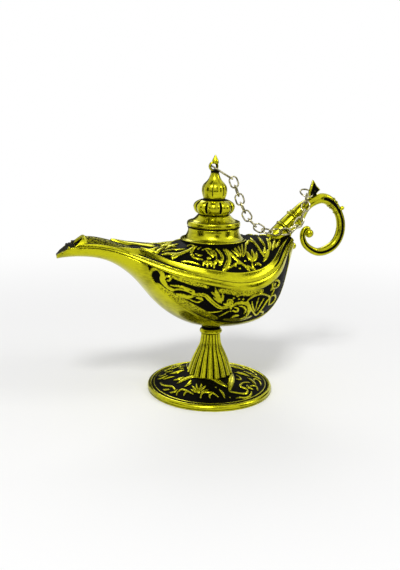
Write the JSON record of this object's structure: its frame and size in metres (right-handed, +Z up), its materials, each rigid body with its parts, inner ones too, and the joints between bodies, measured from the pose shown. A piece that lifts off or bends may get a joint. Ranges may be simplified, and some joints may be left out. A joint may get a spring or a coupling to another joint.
{
  "type": "genie oil lamp",
  "caption": "Cast brass oil lamp with a curved spout, scroll handle, round foot and a domed lid held by a chain.",
  "frame": {"origin": "middle of the foot's resting ring, on the table", "axes": "+Z up through the stem and lid, spout along -X, handle along +X"},
  "size_m": [0.1264, 0.0536, 0.0992],
  "materials": {
    "antiqued_brass": "polished relief over dark patina",
    "polished_brass": "polished, dark in the hollows",
    "chain_brass": "pale bright wire",
    "screw_brass": "dull turned"
  },
  "bodies": {
    "lamp": {"foot": "antiqued_brass", "fluted_stem": "antiqued_brass", "stem_bead": "antiqued_brass", "tie_screw": "screw_brass", "tie_washer": "screw_brass", "bowl": "antiqued_brass", "cover": "antiqued_brass", "handle": "polished_brass", "hook_ring": "chain_brass", "chain_link_13": "chain_brass", "chain_link_14": "chain_brass", "chain_link_15": "chain_brass"},
    "lid": {"lid": "polished_brass"},
    "lid_ring": {"lid_ring": "chain_brass"},
    "chain_rising_run": {"chain_link_10": "chain_brass", "chain_link_11": "chain_brass", "chain_link_12": "chain_brass"},
    "chain_lying_run": {"chain_link_07": "chain_brass", "chain_link_08": "chain_brass", "chain_link_09": "chain_brass"},
    "chain_hanging_run": {"chain_link_01": "chain_brass", "chain_link_02": "chain_brass", "chain_link_03": "chain_brass", "chain_link_04": "chain_brass", "chain_link_05": "chain_brass", "chain_link_06": "chain_brass"}
  },
  "joints": [
    {"name": "lid_lift", "type": "slide", "parent": "lamp", "child": "lid", "axis": [0, 0, 1], "range_m": [0, 0.0054]},
    {"name": "lid_ring_swing", "type": "hinge", "parent": "lid", "child": "lid_ring", "pos_m": [-0.0012, 0, 0.09465], "axis": [0.1908, 0.9816, 0], "range_deg": [-5, 40]},
    {"name": "rising_run_swing", "type": "hinge", "parent": "lamp", "child": "chain_rising_run", "pos_m": [0.03682, -0.00635, 0.07336], "axis": [0.1908, 0.9816, 0], "range_deg": [-3, 18.14]},
    {"name": "lying_run_swing", "type": "hinge", "parent": "chain_rising_run", "child": "chain_lying_run", "pos_m": [0.02796, -0.00542, 0.06771], "axis": [0.1908, 0.9816, 0], "range_deg": [-7.92, 3]},
    {"name": "hanging_run_swing", "type": "hinge", "parent": "chain_lying_run", "child": "chain_hanging_run", "pos_m": [0.01748, -0.00282, 0.07032], "axis": [0.1908, 0.9816, 0], "range_deg": [-13.53, 3]}
  ],
  "couplings": [
    {"joint": "lid_ring_swing", "follows": "lid_lift", "rad_per_m": 25.098},
    {"joint": "rising_run_swing", "follows": "lid_lift", "rad_per_m": 48.929},
    {"joint": "lying_run_swing", "follows": "lid_lift", "rad_per_m": -15.916},
    {"joint": "hanging_run_swing", "follows": "lid_lift", "rad_per_m": -34.033}
  ]
}
